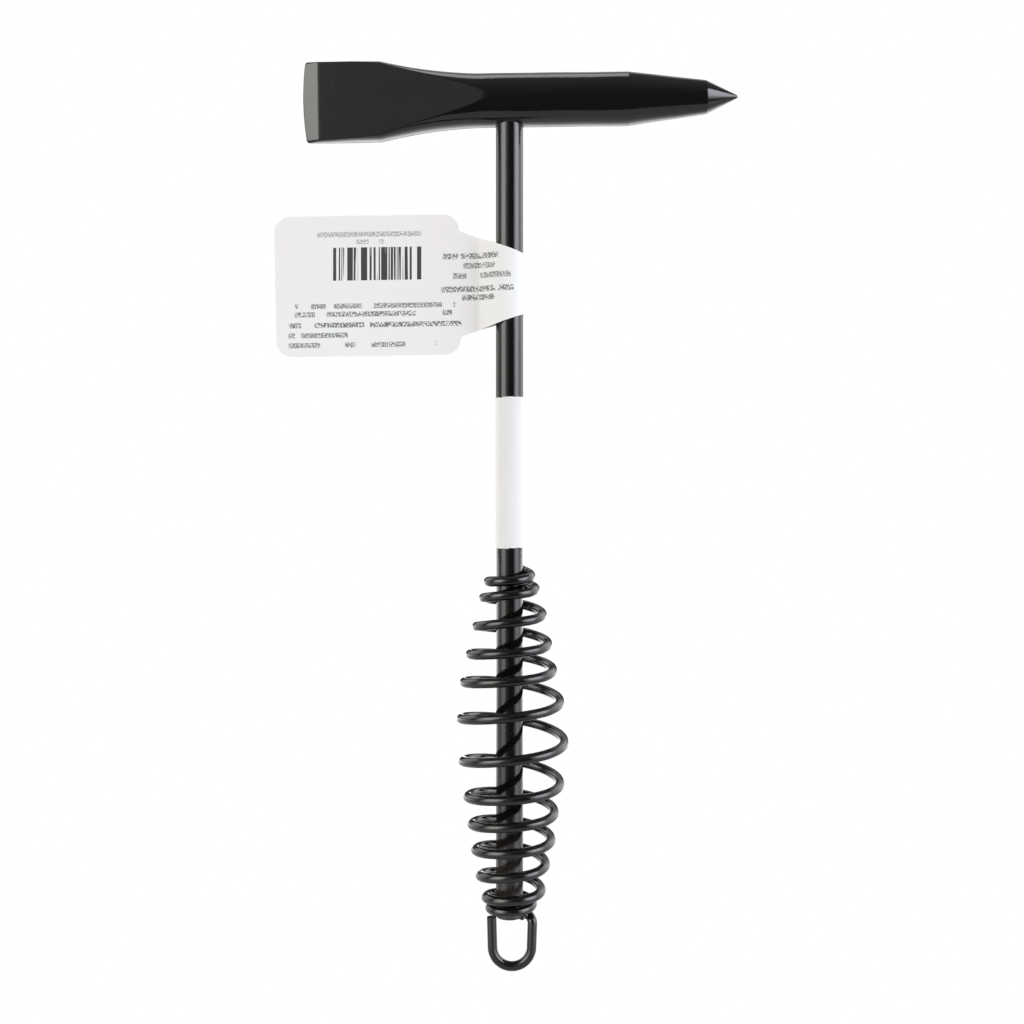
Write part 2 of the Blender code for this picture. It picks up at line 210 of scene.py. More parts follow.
def soft_light(tree, direction, azimuth, elevation, across, up, colour, strength):
    """One soft patch of light in the world, full in its middle and fading at its rim."""
    turned = add(tree, "ShaderNodeVectorRotate", {"rotation_type": "Z_AXIS"},
                 {"Vector": direction, "Angle": -math.radians(azimuth)})
    tipped = add(tree, "ShaderNodeVectorRotate", {"rotation_type": "X_AXIS"},
                 {"Vector": turned.outputs[0], "Angle": math.radians(elevation)})
    part = add(tree, "ShaderNodeSeparateXYZ", None, {0: tipped.outputs[0]})
    ahead = add(tree, "ShaderNodeMath", {"operation": "MULTIPLY"}, {0: part.outputs["Y"], 1: -1.0})
    side = add(tree, "ShaderNodeMath", {"operation": "ARCTAN2"},
               {0: part.outputs["X"], 1: ahead.outputs[0]})
    rise = add(tree, "ShaderNodeMath", {"operation": "ARCSINE"}, {0: part.outputs["Z"]})
    level = strength
    for angle, fade in ((side, across), (rise, up)):
        for dark, full in (fade[:2], fade[:1:-1]):
            step = add(tree, "ShaderNodeMapRange", {"interpolation_type": "SMOOTHSTEP"},
                       {"Value": angle.outputs[0], "From Min": math.radians(dark),
                        "From Max": math.radians(full)})
            level = add(tree, "ShaderNodeMath", {"operation": "MULTIPLY"},
                        {0: step.outputs[0], 1: level}).outputs[0]
    return add(tree, "ShaderNodeVectorMath", {"operation": "SCALE"},
               {0: linear(colour)[:3], "Scale": level})


def make_studio():
    """White all round for the camera, and soft lights in a dim room for the object."""
    world = bpy.data.worlds.new("studio")
    bpy.context.scene.world = world
    world.use_nodes = True
    tree = world.node_tree
    tree.nodes.clear()
    place = add(tree, "ShaderNodeTexCoord")
    direction = add(tree, "ShaderNodeVectorMath", {"operation": "NORMALIZE"},
                    {0: place.outputs["Generated"]})
    total = (ROOM_GLOW,) * 3
    for light in SOFT_LIGHTS:
        patch = soft_light(tree, direction.outputs[0], *light)
        total = add(tree, "ShaderNodeVectorMath", {"operation": "ADD"},
                    {0: patch.outputs[0], 1: total}).outputs[0]
    path = add(tree, "ShaderNodeLightPath")
    strength = add(tree, "ShaderNodeMapRange", None,
                   {"Value": path.outputs["Is Diffuse Ray"], "To Min": 1.0, "To Max": MATT_LIGHT})
    lit = add(tree, "ShaderNodeBackground", None, {"Color": total, "Strength": strength.outputs[0]})
    paper = add(tree, "ShaderNodeBackground", None, {"Color": (1, 1, 1, 1)})
    seen = add(tree, "ShaderNodeMixShader", None,
               {0: path.outputs["Is Camera Ray"], 1: lit.outputs[0], 2: paper.outputs[0]})
    add(tree, "ShaderNodeOutputWorld", None, {"Surface": seen.outputs[0]})
    bpy.context.scene.view_settings.view_transform = "Standard"


def floor_white():
    """Plain white, as bright as the background."""
    material = bpy.data.materials.new("overexposed_white_floor")
    material.use_nodes = True
    tree = material.node_tree
    tree.nodes.clear()
    light = add(tree, "ShaderNodeEmission", None, {"Color": (1, 1, 1, 1), "Strength": 1.0})
    add(tree, "ShaderNodeOutputMaterial", None, {"Surface": light.outputs[0]})
    return material


def lit_table():
    """Lit white acrylic: brightens from just behind the object to the backdrop, and shines."""
    material, tree, shader = new_material("lit_white_acrylic")
    place = add(tree, "ShaderNodeTexCoord").outputs["Object"]
    part = add(tree, "ShaderNodeSeparateXYZ", None, {0: place})
    glow = add(tree, "ShaderNodeMapRange", None,
               {"Value": part.outputs["Y"], "From Min": 0.12, "From Max": 0.45,
                "To Min": TABLE_GLOW, "To Max": BACKDROP_GLOW})
    shader.inputs["Base Color"].default_value = (0, 0, 0, 1)
    shader.inputs["Roughness"].default_value = 0.15
    shader.inputs["IOR"].default_value = 1.5
    shader.inputs["Emission Color"].default_value = (1, 1, 1, 1)
    tree.links.new(glow.outputs[0], shader.inputs["Emission Strength"])
    return material


def make_floor():
    """The pale floor that the camera sees, and the table's glow that the object reflects."""
    level = CAD_LOW.z - 0.5 * MM
    shape = bmesh.new()
    bmesh.ops.create_circle(shape, cap_ends=True, segments=96, radius=3.0,
                            matrix=Matrix.Translation((0, 0, level)))
    floor = shade_and_link("studio_floor", shape)
    floor.data.materials.append(floor_white())
    floor.visible_glossy = False
    floor.visible_diffuse = False
    floor.visible_shadow = False
    shape = bmesh.new()
    middle = (0, (TABLE_FRONT + TABLE_BACK) / 2, level - 1 * MM)
    size = Matrix.Diagonal((2 * TABLE_HALF_WIDTH, TABLE_BACK - TABLE_FRONT, 1, 1))
    bmesh.ops.create_grid(shape, x_segments=1, y_segments=1, size=0.5,
                          matrix=Matrix.Translation(middle) @ size)
    table = shade_and_link("light_table", shape)
    table.data.materials.append(lit_table())
    table.visible_camera = False
    table.visible_shadow = False


# Materials ---------------------------------------------------------------------------------

def new_material(name):
    material = bpy.data.materials.new(name)
    material.use_nodes = True
    tree = material.node_tree
    return material, tree, tree.nodes["Principled BSDF"]


def gloss_black_enamel(name, peel=1.0, roughness=0.07, dust=0.0, thin_below=None):
    """Solvent enamel sprayed on steel: near black, glossy, with a fine orange peel that
    makes the edges of reflections waver. Where the spray falls dry it is rougher."""
    material, tree, shader = new_material(name)
    place = add(tree, "ShaderNodeTexCoord").outputs["Object"]
    shader.inputs["IOR"].default_value = 1.52
    # Orange peel about 1.1 mm from crest to crest, with a finer grain on it
    wave = add(tree, "ShaderNodeTexNoise", None, {"Vector": place, "Scale": 900.0, "Detail": 2.0})
    grain = add(tree, "ShaderNodeTexNoise", None, {"Vector": place, "Scale": 3200.0, "Detail": 1.0})
    fine = add(tree, "ShaderNodeBump", None, {"Height": grain.outputs["Fac"], "Strength": 0.06 * peel,
                                              "Distance": 0.0001})
    bump = add(tree, "ShaderNodeBump", None, {"Height": wave.outputs["Fac"], "Strength": 0.10 * peel,
                                              "Distance": 0.0002, "Normal": fine.outputs[0]})
    tree.links.new(bump.outputs[0], shader.inputs["Normal"])
    # Patches of slightly drier spray, 8 to 10 mm across
    patches = add(tree, "ShaderNodeTexNoise", None, {"Vector": place, "Scale": 120.0, "Detail": 3.0})
    rough = add(tree, "ShaderNodeMapRange", None,
                {"Value": patches.outputs["Fac"], "From Min": 0.3, "From Max": 0.7,
                 "To Min": roughness * 0.8, "To Max": roughness * 1.35})
    colour = add(tree, "ShaderNodeMapRange", {"data_type": "FLOAT_VECTOR"},
                 {"Vector": patches.outputs["Color"]})
    colour.inputs[9].default_value = linear("#080808")[:3]
    colour.inputs[10].default_value = linear("#0C0C0B")[:3]
    surface = colour.outputs["Vector"]
    roughness_value = rough.outputs[0]
    if dust:
        # Pinhead specks of dust and dry overspray, 0.3 mm across
        specks = add(tree, "ShaderNodeTexVoronoi", None, {"Vector": place, "Scale": 900.0})
        keep = add(tree, "ShaderNodeMapRange", None,
                   {"Value": specks.outputs["Distance"], "From Min": 0.12, "From Max": 0.22,
                    "To Min": dust, "To Max": 0.0})
        scatter = add(tree, "ShaderNodeMath", {"operation": "GREATER_THAN"},
                      {0: patches.outputs["Fac"], 1: 0.53})
        shown = add(tree, "ShaderNodeMath", {"operation": "MULTIPLY"},
                    {0: keep.outputs[0], 1: scatter.outputs[0]})
        dusty = add(tree, "ShaderNodeMix", {"data_type": "RGBA"}, {0: shown.outputs[0]})
        tree.links.new(surface, dusty.inputs[6])
        dusty.inputs[7].default_value = linear("#4A4845")
        surface = dusty.outputs[2]
    if thin_below is not None:
        # The spring shades the rod's low end, so the coat there is dry and shows brown
        part = add(tree, "ShaderNodeSeparateXYZ", None, {0: place})
        low = add(tree, "ShaderNodeMapRange", {"interpolation_type": "SMOOTHSTEP"},
                  {"Value": part.outputs["Z"], "From Min": thin_below - 30 * MM,
                   "From Max": thin_below, "To Min": 1.0, "To Max": 0.0})
        blotch = add(tree, "ShaderNodeTexNoise", None,
                     {"Vector": place, "Scale": 700.0, "Detail": 4.0, "Roughness": 0.65})
        amount = add(tree, "ShaderNodeMath", {"operation": "MULTIPLY"},
                     {0: low.outputs[0], 1: blotch.outputs["Fac"]})
        brown = add(tree, "ShaderNodeMix", {"data_type": "RGBA"}, {0: amount.outputs[0]})
        tree.links.new(surface, brown.inputs[6])
        brown.inputs[7].default_value = linear("#3A322E")
        surface = brown.outputs[2]
        drier = add(tree, "ShaderNodeMath", {"operation": "MULTIPLY_ADD"},
                    {0: amount.outputs[0], 1: 0.35, 2: roughness_value})
        roughness_value = drier.outputs[0]
    tree.links.new(surface, shader.inputs["Base Color"])
    tree.links.new(roughness_value, shader.inputs["Roughness"])
    return material


# Placeholder print: left, right, middle height and height of each row in mm, the length of
# its longest dashes in mm, and how much ink it has. A row with no dash length is plain bars.
CARD_ROWS = (
    (-69.0, -17.5, 140.7, 1.6, 5.0, 0.72),
    (-69.0, -18.5, 138.1, 1.6, 6.0, 0.72),
    (-71.0, -15.5, 134.6, 1.6, 5.5, 0.78),
    (-71.0, -52.0, 131.4, 1.6, 5.0, 0.72),
    (-71.0, -23.5, 128.2, 1.6, 6.5, 0.72),
    (-21.5, -3.2, 156.1, 1.8, 6.0, 0.74),
    (-18.3, -4.6, 153.0, 1.8, 5.0, 0.74),
    (-18.1, 0.4, 149.8, 1.8, 7.0, 0.74),
    (-22.0, 3.0, 145.5, 1.8, 5.0, 0.74),
    (-16.3, -4.8, 142.8, 1.8, 6.0, 0.74),
)
STICKER_ROWS = (
    (-61.9, -28.4, 163.7, 1.6, 7.0, 0.5),
    (-49.4, -40.6, 161.3, 1.4, 7.0, 0.5),
    (-56.9, -28.4, 154.2, 10.6, None, 0.96),
)
# Noise that breaks a row up: its size across and up in mm, and the level above which it inks
BAR_NOISE = (0.38, 90.0, 0.48)
STROKE_NOISE = (0.34, 0.55, 0.44)
DASH_NOISE_HEIGHT, DASH_NOISE_LEVEL = 90.0, 0.38
ROW_NOISE_SHIFT = 7.3
PRINT_INK = "#232325"


def printed(tree, place, rows):
    """Ink on the front face: rows of uneven dashes, or upright bars, that say nothing."""
    part = add(tree, "ShaderNodeSeparateXYZ", None, {0: place})
    level = add(tree, "ShaderNodeMath", {"operation": "MULTIPLY_ADD"},
                {0: part.outputs["X"], 1: -math.sin(TAG_LEAN), 2: part.outputs["Z"]})
    facing = add(tree, "ShaderNodeSeparateXYZ", None,
                 {0: add(tree, "ShaderNodeTexCoord").outputs["Normal"]})
    front = add(tree, "ShaderNodeMath", {"operation": "LESS_THAN"}, {0: facing.outputs["Y"], 1: 0.0})
    total = 0.0
    for number, (left, right, middle, height, dash, ink) in enumerate(rows):
        row = add(tree, "ShaderNodeMath", {"operation": "COMPARE"},
                  {0: level.outputs[0], 1: middle * MM, 2: height / 2 * MM})
        span = add(tree, "ShaderNodeMath", {"operation": "COMPARE"},
                   {0: part.outputs["X"], 1: (left + right) / 2 * MM, 2: (right - left) / 2 * MM})
        inked = add(tree, "ShaderNodeMath", {"operation": "MULTIPLY"},
                    {0: row.outputs[0], 1: span.outputs[0]}).outputs[0]
        # Bars run the whole height of their block; dashes are broken up both ways
        marks = (BAR_NOISE,)
        if dash is not None:
            marks = (STROKE_NOISE, (dash, DASH_NOISE_HEIGHT, DASH_NOISE_LEVEL))
        for across, up, level_inked in marks:
            spot = add(tree, "ShaderNodeCombineXYZ", None, {"X": part.outputs["X"],
                                                            "Y": level.outputs[0]})
            size = add(tree, "ShaderNodeVectorMath", {"operation": "DIVIDE"},
                       {0: spot.outputs[0], 1: (across * MM, up * MM, 1.0)})
            moved = add(tree, "ShaderNodeVectorMath", {"operation": "ADD"},
                        {0: size.outputs[0], 1: (0.0, 0.0, ROW_NOISE_SHIFT * number)})
            strokes = add(tree, "ShaderNodeTexNoise", None,
                          {"Vector": moved.outputs[0], "Scale": 1.0, "Detail": 0.0})
            shown = add(tree, "ShaderNodeMath", {"operation": "GREATER_THAN"},
                        {0: strokes.outputs["Fac"], 1: level_inked})
            inked = add(tree, "ShaderNodeMath", {"operation": "MULTIPLY"},
                        {0: shown.outputs[0], 1: inked}).outputs[0]
        total = add(tree, "ShaderNodeMath", {"operation": "MULTIPLY_ADD"},
                    {0: inked, 1: ink, 2: total}).outputs[0]
    return add(tree, "ShaderNodeMath", {"operation": "MULTIPLY"},
               {0: total, 1: front.outputs[0]}).outputs[0]


def coated_paper(name, colour, warm, roughness, rows=None):
    """Machine-coated white paper or card: matt, faintly mottled, with a fibre grain."""
    material, tree, shader = new_material(name)
    place = add(tree, "ShaderNodeTexCoord").outputs["Object"]
    shader.inputs["Roughness"].default_value = roughness
    shader.inputs["IOR"].default_value = 1.45
    mottle = add(tree, "ShaderNodeTexNoise", None, {"Vector": place, "Scale": 45.0, "Detail": 3.0})
    blend = add(tree, "ShaderNodeMapRange", None,
                {"Value": mottle.outputs["Fac"], "From Min": 0.35, "From Max": 0.65})
    tone = add(tree, "ShaderNodeMix", {"data_type": "RGBA"}, {0: blend.outputs[0]})
    tone.inputs[6].default_value = linear(colour)
    tone.inputs[7].default_value = linear(warm)
    surface = tone.outputs[2]
    if rows:
        ink = add(tree, "ShaderNodeMix", {"data_type": "RGBA"}, {0: printed(tree, place, rows)})
        tree.links.new(surface, ink.inputs[6])
        ink.inputs[7].default_value = linear(PRINT_INK)
        surface = ink.outputs[2]
    tree.links.new(surface, shader.inputs["Base Color"])
    # Paper fibres, drawn 0.5 mm long so that they show
    fibre = add(tree, "ShaderNodeTexNoise", None, {"Vector": place, "Scale": 2000.0, "Detail": 2.0})
    bump = add(tree, "ShaderNodeBump", None, {"Height": fibre.outputs["Fac"], "Strength": 0.1,
                                              "Distance": 0.00005})
    tree.links.new(bump.outputs[0], shader.inputs["Normal"])
    return material


# Head --------------------------------------------------------------------------------------

FACET_START = -8.2 * MM
FACET_TAPER = math.tan(math.radians(6.5))
FACET_SHARE = 0.54
FACET_ROUNDING = 0.14 * MM
FLARE_START = -9.3 * MM
FLARE_END = -41.4 * MM
FLARE_POWER = 1.8
FLARE_HALF_WIDTH = 12.65 * MM
BEVEL_LENGTH = 4.9 * MM
EDGE_HALF_THICKNESS = 0.32 * MM
EDGE_ROUNDING = 0.3 * MM
EDGE_BULGE = 0.8 * MM
EDGE_SLANT = 0.01
EDGE_CORNER = 1.2 * MM
CONE_START = 38.0 * MM
NOSE_START = 63.2 * MM
NOSE_RADIUS = 5.35 * MM
TIP_RADIUS = 0.65 * MM
TIP_ANGLE = math.radians(25.7)
POINT_RISE = 0.2 * MM
HAMMER_MARKS = 0.10 * MM
HEAD_SIDES = 240


def blade_half_width(x):
    if x >= FLARE_START:
        return BAR_RADIUS
    part = clamp01((FLARE_START - x) / (FLARE_START - FLARE_END))
    spread = max(FLARE_END - x, 0.0) / (FLARE_END - CHISEL_EDGE)
    width = BAR_RADIUS + (FLARE_HALF_WIDTH - BAR_RADIUS) * part ** FLARE_POWER
    width += (CHISEL_HALF_WIDTH - FLARE_HALF_WIDTH) * spread
    inside = clamp01((CHISEL_EDGE + EDGE_CORNER - x) / EDGE_CORNER)
    return width - EDGE_CORNER * (1 - math.sqrt(1 - inside * inside))


def blade_half_thickness(x):
    """The broad ground facets, then the two short bevels that meet in the cutting edge."""
    facet = BAR_RADIUS - (FACET_START - x) * FACET_TAPER
    at_bevel = BAR_RADIUS - (FACET_START - CHISEL_EDGE - BEVEL_LENGTH) * FACET_TAPER
    slope = (at_bevel - EDGE_HALF_THICKNESS) / BEVEL_LENGTH
    bevel = EDGE_HALF_THICKNESS + (x - CHISEL_EDGE) * slope
    from_edge = clamp01(1 - (x - CHISEL_EDGE) / EDGE_ROUNDING)
    return smooth_min(facet, bevel, 0.15 * MM) * math.sqrt(1 - from_edge ** 2)


def point_radius(x):
    """Round bar, long taper, short nose and a blunt tip."""
    taper = BAR_RADIUS - (x - CONE_START) * (BAR_RADIUS - NOSE_RADIUS) / (NOSE_START - CONE_START)
    tip_start = POINT_TIP - TIP_RADIUS * (1 - math.sin(TIP_ANGLE))
    tip_side = TIP_RADIUS * math.cos(TIP_ANGLE)
    nose = tip_side + (tip_start - x) * (NOSE_RADIUS - tip_side) / (tip_start - NOSE_START)
    if x > tip_start:
        return math.sqrt(max(TIP_RADIUS ** 2 - (x - POINT_TIP + TIP_RADIUS) ** 2, 0.0))
    radius = smooth_min(BAR_RADIUS, taper, 0.04 * MM)
    return smooth_min(radius, nose, 0.10 * MM)


def blade_place(x, across, up):
    """Where the drawn-out bar's skin ends up on the flared and ground blade."""
    height = blade_half_width(x)
    thickness = blade_half_thickness(x)
    share = FACET_SHARE - 0.10 * clamp01((FLARE_END + 8 * MM - x) / (16 * MM))
    full_depth = min(BAR_RADIUS, thickness / share)
    power = 2 / (2.0 + 0.6 * clamp01((FLARE_START - x) / (FLARE_START - FLARE_END)))
    z = height * math.copysign(abs(up) ** power, up)
    rounding = min(FACET_ROUNDING, 0.5 * thickness + 1e-9)
    depth = smooth_min(full_depth * abs(across) ** power, thickness, rounding)
    edge = clamp01((CHISEL_EDGE + BEVEL_LENGTH - x) / BEVEL_LENGTH)
    bow = edge * (EDGE_BULGE * (z / height) ** 2 - EDGE_SLANT * z) if height else 0.0
    return Vector((x + bow, math.copysign(max(depth, 0.0), across), z))


def forge(shape):
    """Shape the drawn-out bar: blade to the left, point to the right, faint hammer marks."""
    for vert in shape.verts:
        x, across, up = vert.co
        mark = HAMMER_MARKS * noise.noise(Vector((x / (14 * MM), across * 1.5, up * 1.5)))
        if x < 0:
            placed = blade_place(x, across, up)
            fade = clamp01((x - FLARE_END) / (10 * MM))
        else:
            radius = point_radius(x)
            rise = POINT_RISE * clamp01((x - CONE_START) / (NOSE_START - CONE_START))
            placed = Vector((x, radius * across, rise + radius * up))
            fade = clamp01((NOSE_START - x) / (10 * MM))
        vert.co = placed + mark * fade * Vector((0, across, up))


def head_place():
    return Matrix.Translation((0, 0, HEAD_HEIGHT)) @ Matrix.Rotation(-HEAD_LEAN, 4, "Y")


def make_head(finish):
    bevel_start = CHISEL_EDGE + BEVEL_LENGTH
    edge_in = CHISEL_EDGE + EDGE_CORNER
    tip_start = POINT_TIP - TIP_RADIUS * (1 - math.sin(TIP_ANGLE))
    stations = spaced(CHISEL_EDGE, CHISEL_EDGE + EDGE_ROUNDING, 0.02 * MM)
    stations += spaced(CHISEL_EDGE + EDGE_ROUNDING, edge_in, 0.1 * MM)
    stations += spaced(edge_in, bevel_start - 0.3 * MM, 0.5 * MM)
    stations += spaced(bevel_start - 0.3 * MM, bevel_start + 0.3 * MM, 0.05 * MM)
    stations += spaced(bevel_start + 0.3 * MM, FLARE_END - 1.5 * MM, 0.8 * MM)
    stations += spaced(FLARE_END - 1.5 * MM, FLARE_END + 1.5 * MM, 0.25 * MM)
    stations += spaced(FLARE_END + 1.5 * MM, FACET_START - 3.0 * MM, 0.5 * MM)
    stations += spaced(FACET_START - 3.0 * MM, FACET_START + 0.5 * MM, 0.1 * MM)
    stations += spaced(FACET_START + 0.5 * MM, CONE_START - 0.6 * MM, 1.0 * MM)
    stations += spaced(CONE_START - 0.6 * MM, CONE_START + 0.6 * MM, 0.1 * MM)
    stations += spaced(CONE_START + 0.6 * MM, NOSE_START - 0.3 * MM, 1.0 * MM)
    stations += spaced(NOSE_START - 0.3 * MM, NOSE_START + 0.3 * MM, 0.05 * MM)
    stations += spaced(NOSE_START + 0.3 * MM, tip_start, 0.5 * MM)
    stations += [POINT_TIP - TIP_RADIUS * (1 - math.sin(angle))
                 for angle in spaced(TIP_ANGLE, math.pi / 2, math.radians(6))] + [POINT_TIP]
    shape = drawn_out(stations, HEAD_SIDES)
    forge(shape)
    bmesh.ops.transform(shape, matrix=head_place(), verts=shape.verts)
    head = shade_and_link("head_forging", shape, 50.0)
    finish_piece(head, finish, "head_enamel", "head")


HEAD_WELD_LEG = 0.36 * MM


def make_head_weld(finish):
    """A narrow fillet that follows the saddle line where the rod enters the bar."""
    shape = bmesh.new()
    rows = ((HEAD_WELD_LEG, 0.02), (0.62 * HEAD_WELD_LEG, 0.12), (0.30 * HEAD_WELD_LEG, 0.25),
            (0.10 * HEAD_WELD_LEG, 0.45), (0.0, 0.7), (-0.4 * HEAD_WELD_LEG, 0.4),
            (-0.4 * HEAD_WELD_LEG, -1.5), (HEAD_WELD_LEG, -1.5))
    bmesh.ops.create_circle(shape, segments=120, radius=1.0)
    edges = list(shape.edges)
    rings = [list(shape.verts)]
    for _ in rows[1:]:
        grown = bmesh.ops.extrude_edge_only(shape, edges=edges)["geom"]
        edges = [item for item in grown if isinstance(item, bmesh.types.BMEdge)]
        rings.append([item for item in grown if isinstance(item, bmesh.types.BMVert)])
    first = [edge for edge in shape.edges if all(v in set(rings[0]) for v in edge.verts)]
    bmesh.ops.bridge_loops(shape, edges=first + edges)
    for ring, (out, drop) in zip(rings, rows):
        for vert in ring:
            angle = math.atan2(vert.co.y, vert.co.x)
            ripple = 1 + 0.25 * noise.noise(Vector((3 * math.cos(angle), 3 * math.sin(angle), 0)))
            radius = ROD_RADIUS + out * ripple
            x, y = radius * math.cos(angle), radius * math.sin(angle)
            skin = HEAD_HEIGHT + x * math.tan(HEAD_LEAN) - math.sqrt(BAR_RADIUS ** 2 - y * y)
            vert.co = (x, y, skin - drop * HEAD_WELD_LEG * ripple)
    weld = shade_and_link("head_weld_fillet", shape, 60.0)
    finish_piece(weld, finish, "weld_enamel", "head_weld")


# Handle rod --------------------------------------------------------------------------------

def make_rod(finish):
    """Drawn round rod with its lower end sawn off and barely chamfered."""
    chamfer = 0.45 * MM
    top = HEAD_HEIGHT - 0.5 * BAR_RADIUS
    shape = bmesh.new()
    outline = ((0, top), (ROD_RADIUS, top), (ROD_RADIUS, ROD_LOW_END + chamfer),
               (ROD_RADIUS - 0.15 * MM, ROD_LOW_END + 0.15 * MM),
               (ROD_RADIUS - chamfer, ROD_LOW_END), (0, ROD_LOW_END))
    points = [shape.verts.new((radius, 0, z)) for radius, z in outline]
    for start, end in zip(points, points[1:]):
        shape.edges.new((start, end))
    bmesh.ops.spin(shape, geom=list(shape.verts) + list(shape.edges), cent=(0, 0, 0), axis=(0, 0, 1),
                   angle=2 * math.pi, steps=128, use_merge=True)
    rod = shade_and_link("handle_rod_steel", shape, 20.0)
    finish_piece(rod, finish, "rod_enamel", "handle_rod")


# Spring grip and hanging loop --------------------------------------------------------------

# The hand-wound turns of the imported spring: turn number, and in mm the height of the wire,
# the radius of the turn and how far its middle lies to the right
SPRING_STATIONS = (
    (-0.25, 55.4, 6.3, 0.0),
    (0.0, 53.1, 6.6, 0.2),
    (1.0, 48.9, 7.8, 0.4),
    (2.0, 40.7, 10.0, 0.5),
    (3.0, 31.2, 12.0, 0.3),
    (4.0, 22.8, 13.8, 0.1),
    (5.0, 12.7, 15.8, 0.4),
    (6.0, -0.3, 16.6, 1.0),
    (7.0, -13.7, 15.2, 1.0),
    (8.0, -23.0, 13.5, 0.9),
    (9.0, -31.8, 12.4, 0.9),
    (10.0, -39.7, 10.8, 0.7),
    (11.0, -48.1, 9.3, 0.8),
    (12.0, -52.6, 6.9, 0.4),
    (12.5, -53.8, 6.25, 0.0),
    (12.75, -55.2, 6.25, 0.0),
)
TURN_LIFT_LEFT = 0.35 * MM
TURN_LIFT_FRONT = 0.45 * MM
TURN_LIFT_BACK = 0.15 * MM
FREE_TURNS = (0.5, 12.0)
POINTS_PER_TURN = 64
LOOP_CENTRE_X = 0.8 * MM
LOOP_TOP_HALF_WIDTH = 6.55 * MM
LOOP_BEND_RADIUS = 6.3 * MM
LOOP_CUT_END = -56.9 * MM
LOOP_LEG_TOP = -58.9 * MM
ELBOW_PULL = 9.0 * MM


def curve_value(stations, column, at):
    """Smooth curve through the stations' values, by cubic pieces with matching slopes."""
    def slope(i):
        low, high = max(i - 1, 0), min(i + 1, len(stations) - 1)
        rise = stations[high][column] - stations[low][column]
        return rise / (stations[high][0] - stations[low][0])

    i = 0
    while i < len(stations) - 2 and at > stations[i + 1][0]:
        i += 1
    span = stations[i + 1][0] - stations[i][0]
    u = (at - stations[i][0]) / span
    return ((1 + 2 * u) * (1 - u) ** 2 * stations[i][column]
            + u * (1 - u) ** 2 * span * slope(i)
            + u * u * (3 - 2 * u) * stations[i + 1][column]
            - u * u * (1 - u) * span * slope(i + 1))


def spring_point(turn):
    """Each free turn runs a little high on its left, in front and behind, and low on its right."""
    height, radius, offset = (curve_value(SPRING_STATIONS, column, turn) * MM for column in (1, 2, 3))
    angle = 2 * math.pi * turn
    free = min(max(turn - FREE_TURNS[0], 0.0), max(FREE_TURNS[1] - turn, 0.0), 1.0)
    lift = TURN_LIFT_FRONT if math.sin(angle) > 0 else TURN_LIFT_BACK
    height += free * (TURN_LIFT_LEFT * (1 - math.cos(angle)) + lift * math.sin(angle) ** 2)
    return Vector((offset + radius * math.cos(angle), -radius * math.sin(angle), height))


def elbow(start, start_pull, end, end_pull, steps):
    """Bend of the wire from one point and direction to another."""
    points = []
    for i in range(1, steps):
        u = i / steps
        points.append((1 + 2 * u) * (1 - u) ** 2 * start + u * (1 - u) ** 2 * start_pull
                      + u * u * (3 - 2 * u) * end - u * u * (1 - u) * end_pull)
    return points


def loop_points():
    """Right leg, round bend and left leg of the hanging loop."""
    centre_z = LOOP_LOW_POINT + WIRE_RADIUS + LOOP_BEND_RADIUS
    points = [Vector((LOOP_CENTRE_X + LOOP_TOP_HALF_WIDTH, 0, LOOP_LEG_TOP))]
    bend_steps = 48
    for i in range(bend_steps + 1):
        angle = -math.pi * i / bend_steps
        points.append(Vector((LOOP_CENTRE_X + LOOP_BEND_RADIUS * math.cos(angle), 0,
                              centre_z + LOOP_BEND_RADIUS * math.sin(angle))))
    points.append(Vector((LOOP_CENTRE_X - LOOP_TOP_HALF_WIDTH, 0, LOOP_CUT_END)))
    return points


def wire_route():
    first, last = SPRING_STATIONS[0][0], SPRING_STATIONS[-1][0]
    steps = round((last - first) * POINTS_PER_TURN)
    coil = [spring_point(first + (last - first) * i / steps) for i in range(steps + 1)]
    loop = loop_points()
    leaving = (coil[-1] - coil[-2]).normalized() * ELBOW_PULL
    arriving = (loop[1] - loop[0]).normalized() * ELBOW_PULL
    return coil + elbow(coil[-1], leaving, loop[0], arriving, 36) + loop


def make_spring(finish):
    """One length of round wire, wound and bent, with its two ends sheared square."""
    route = wire_route()
    curve = bpy.data.curves.new("spring_wire", "CURVE")
    curve.dimensions = "3D"
    curve.bevel_depth = WIRE_RADIUS
    curve.bevel_resolution = 10
    curve.use_fill_caps = True
    spline = curve.splines.new("POLY")
    spline.points.add(len(route) - 1)
    for point, place in zip(spline.points, route):
        point.co = (*place, 1.0)
    guide = bpy.data.objects.new("spring_guide", curve)
    bpy.context.scene.collection.objects.link(guide)
    bpy.context.view_layer.update()
    mesh = bpy.data.meshes.new_from_object(guide.evaluated_get(bpy.context.evaluated_depsgraph_get()))
    shape = bmesh.new()
    shape.from_mesh(mesh)
    bpy.data.objects.remove(guide, do_unlink=True)
    bmesh.ops.remove_doubles(shape, verts=shape.verts, dist=0.000005)
    rims = [edge for edge in shape.edges
            if len(edge.link_faces) == 2 and max(len(face.verts) for face in edge.link_faces) > 4]
    bmesh.ops.bevel(shape, geom=rims, offset=0.25 * MM, offset_type="OFFSET", segments=3, profile=0.5,
                    affect="EDGES", material=-1)
    wire = shade_and_link("spring_grip_wire", shape, 50.0)
    finish_piece(wire, finish, "spring_enamel", "grip_spring")


